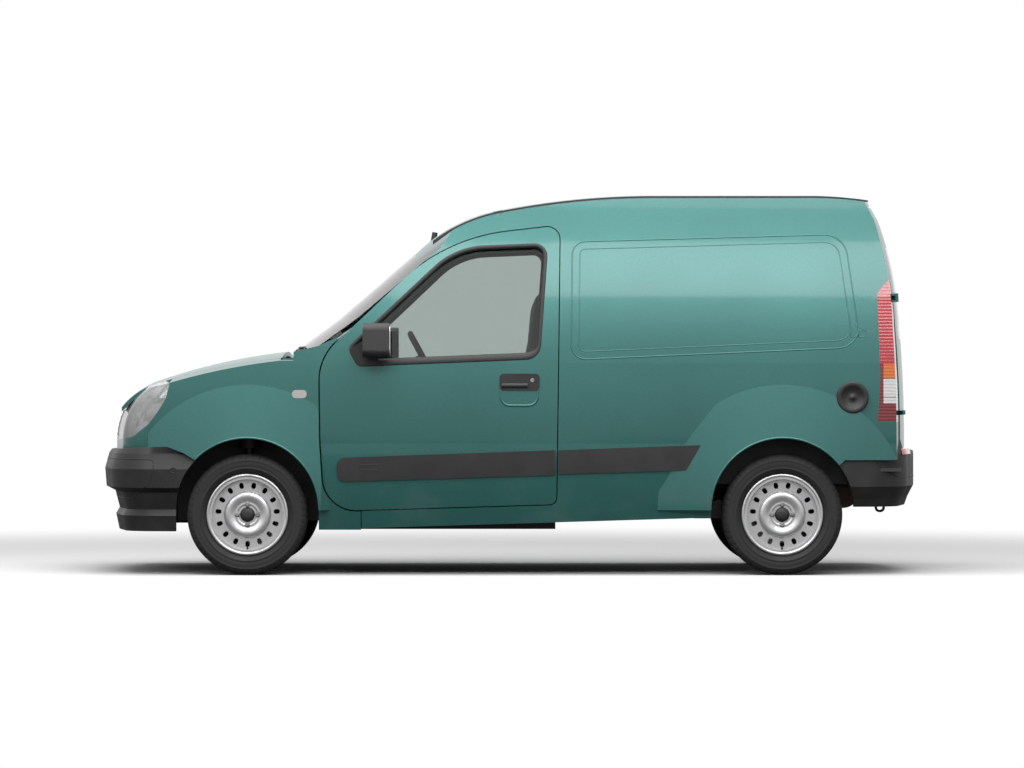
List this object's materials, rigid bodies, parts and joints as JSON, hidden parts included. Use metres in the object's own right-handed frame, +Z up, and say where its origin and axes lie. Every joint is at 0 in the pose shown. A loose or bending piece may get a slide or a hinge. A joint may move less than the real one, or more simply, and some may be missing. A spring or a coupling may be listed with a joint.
{
  "type": "small panel van",
  "caption": "Compact high-roofed panel van with a short bonnet, swinging front doors, twin rear doors, steered front wheels and a hollow cab and load space.",
  "frame": {"origin": "on the ground under the middle of the van, halfway between the bumpers", "axes": "+X to the tail, +Y to the van's right side, +Z up"},
  "size_m": [4.0343, 1.9388, 1.8701],
  "materials": {
    "paint": "metallic teal green lacquer",
    "underbody": "satin undercoat",
    "black_steel": "satin black",
    "engine_cast": "cast",
    "black_plastic": "grained",
    "glass": "clear",
    "lamp_clear": "clear",
    "lamp_bowl": "bright",
    "lamp_red": "gloss",
    "bare_steel": "dull",
    "seat_cloth": "woven",
    "seat_frame": "satin black",
    "tyre": "matt",
    "wheel_silver": "silver paint"
  },
  "bodies": {
    "chassis": {"floor_pan": "underbody", "body_side_left": "paint", "body_side_right": "paint", "roof_panel": "paint", "windscreen": "glass", "scuttle": "underbody", "nose_panel": "paint", "grille": "black_plastic", "front_bumper": "black_plastic", "rear_bumper": "black_plastic", "front_wing_left": "paint", "front_wing_right": "paint", "headlamp_bowls": "lamp_bowl", "headlamp_lenses": "lamp_clear", "tail_lamps": "lamp_red", "side_mouldings": "black_plastic", "roof_trim": "black_plastic", "fuel_cap": "black_plastic", "side_repeaters": "lamp_clear", "wipers": "black_plastic", "arch_liners": "black_plastic", "engine_block": "engine_cast", "front_suspension": "black_steel", "rear_axle": "black_steel", "fuel_tank": "black_plastic", "exhaust": "bare_steel", "dashboard": "black_plastic", "seat_bases": "seat_frame", "seat_left": "seat_cloth", "seat_right": "seat_cloth"},
    "door_left": {"front_door_left": "paint", "door_glass_left": "glass", "door_fittings_left": "black_plastic"},
    "door_right": {"front_door_right": "paint", "door_glass_right": "glass", "door_fittings_right": "black_plastic"},
    "lid": {"bonnet": "paint"},
    "tail_door_left": {"rear_door_left": "paint", "rear_glass_left": "glass"},
    "tail_door_right": {"rear_door_right": "paint", "rear_glass_right": "glass"},
    "steering": {"steering_wheel": "black_plastic"},
    "hub_left": {"knuckle_left": "black_steel"},
    "hub_right": {"knuckle_right": "black_steel"},
    "wheel_front_left": {"tyre_front_left": "tyre", "rim_front_left": "wheel_silver"},
    "wheel_front_right": {"tyre_front_right": "tyre", "rim_front_right": "wheel_silver"},
    "wheel_rear_left": {"tyre_rear_left": "tyre", "rim_rear_left": "wheel_silver"},
    "wheel_rear_right": {"tyre_rear_right": "tyre", "rim_rear_right": "wheel_silver"}
  },
  "joints": [
    {"name": "door_left_swing", "type": "hinge", "parent": "chassis", "child": "door_left", "pos_m": [-0.8405, -0.79, 0.7], "axis": [0, 0, -1], "range_deg": [0, 65]},
    {"name": "door_right_swing", "type": "hinge", "parent": "chassis", "child": "door_right", "pos_m": [-0.8405, 0.79, 0.7], "axis": [0, 0, 1], "range_deg": [0, 65]},
    {"name": "bonnet_lift", "type": "hinge", "parent": "chassis", "child": "lid", "pos_m": [-1.0475, 0, 1.047], "axis": [0, 1, 0], "range_deg": [0, 50]},
    {"name": "tail_door_left_swing", "type": "hinge", "parent": "chassis", "child": "tail_door_left", "pos_m": [1.90521, -0.677, 1.07], "axis": [0.0606, 0, -0.9982], "range_deg": [0, 90]},
    {"name": "tail_door_right_swing", "type": "hinge", "parent": "chassis", "child": "tail_door_right", "pos_m": [1.90521, 0.677, 1.07], "axis": [-0.0606, 0, 0.9982], "range_deg": [0, 90]},
    {"name": "steer_left", "type": "hinge", "parent": "chassis", "child": "hub_left", "pos_m": [-1.2725, -0.585, 0.294], "axis": [0, 0, 1], "range_deg": [-35, 35]},
    {"name": "steer_right", "type": "hinge", "parent": "chassis", "child": "hub_right", "pos_m": [-1.2725, 0.585, 0.294], "axis": [0, 0, 1], "range_deg": [-35, 35]},
    {"name": "steering_turn", "type": "hinge", "parent": "chassis", "child": "steering", "pos_m": [-0.4085, -0.37, 1.027], "axis": [0.8829, 0, 0.4695], "range_deg": [-525, 525]},
    {"name": "roll_front_left", "type": "hinge", "parent": "hub_left", "child": "wheel_front_left", "pos_m": [-1.2725, -0.703, 0.294], "axis": [0, 1, 0], "continuous": true},
    {"name": "roll_front_right", "type": "hinge", "parent": "hub_right", "child": "wheel_front_right", "pos_m": [-1.2725, 0.703, 0.294], "axis": [0, 1, 0], "continuous": true},
    {"name": "roll_rear_left", "type": "hinge", "parent": "chassis", "child": "wheel_rear_left", "pos_m": [1.3275, -0.703, 0.294], "axis": [0, 1, 0], "continuous": true},
    {"name": "roll_rear_right", "type": "hinge", "parent": "chassis", "child": "wheel_rear_right", "pos_m": [1.3275, 0.703, 0.294], "axis": [0, 1, 0], "continuous": true}
  ],
  "couplings": [
    {"joint": "steer_right", "follows": "steer_left", "ratio": 1},
    {"joint": "steering_turn", "follows": "steer_left", "ratio": 15}
  ]
}
